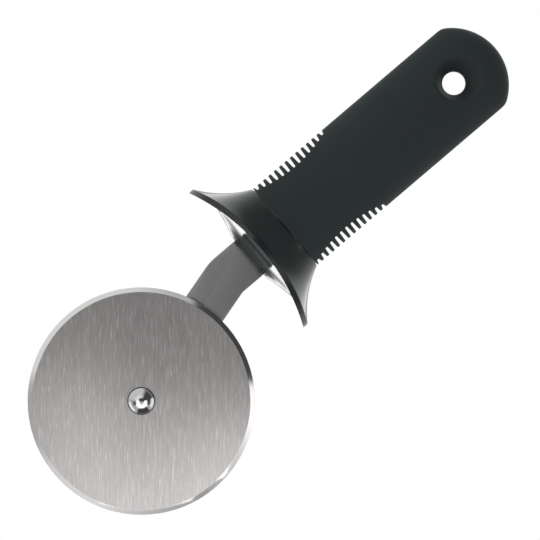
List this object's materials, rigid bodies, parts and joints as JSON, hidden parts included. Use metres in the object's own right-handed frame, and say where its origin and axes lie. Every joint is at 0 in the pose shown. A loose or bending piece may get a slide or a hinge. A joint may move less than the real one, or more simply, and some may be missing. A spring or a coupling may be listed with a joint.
{
  "type": "pizza cutter",
  "caption": "Hand-held wheel cutter with a free-spinning bevelled steel disc on a bent arm, a flared thumb guard and a finned soft grip with a hang hole.",
  "frame": {"origin": "centre of the hang hole, midway through the grip", "axes": "+Z along the handle towards its hanging end, +Y along the hang hole and the axle away from the wheel's face, +X to the side that the arm bends to"},
  "size_m": [0.1078, 0.05, 0.2736],
  "materials": {
    "blade_steel": "fine straight brushed",
    "arm_steel": "satin",
    "hardware_steel": "plain",
    "rivet_chrome": "polished",
    "bearing_plastic": "smooth",
    "core_plastic": "smooth",
    "guard_gloss": "high gloss",
    "grip_rubber": "soft matte"
  },
  "bodies": {
    "handle": {"axle_rivet": "rivet_chrome", "front_washer": "bearing_plastic", "spacer_washer": "bearing_plastic", "rear_washer": "hardware_steel", "arm": "arm_steel", "tang_pins": "hardware_steel", "handle_core": "core_plastic", "guard": "guard_gloss", "grip": "grip_rubber"},
    "wheel": {"wheel_blade": "blade_steel", "wheel_bush": "bearing_plastic"}
  },
  "joints": [
    {"name": "wheel_spin", "type": "hinge", "parent": "handle", "child": "wheel", "pos_m": [0.01755, -0.0031, -0.1983], "axis": [0, 1, 0], "continuous": true}
  ]
}
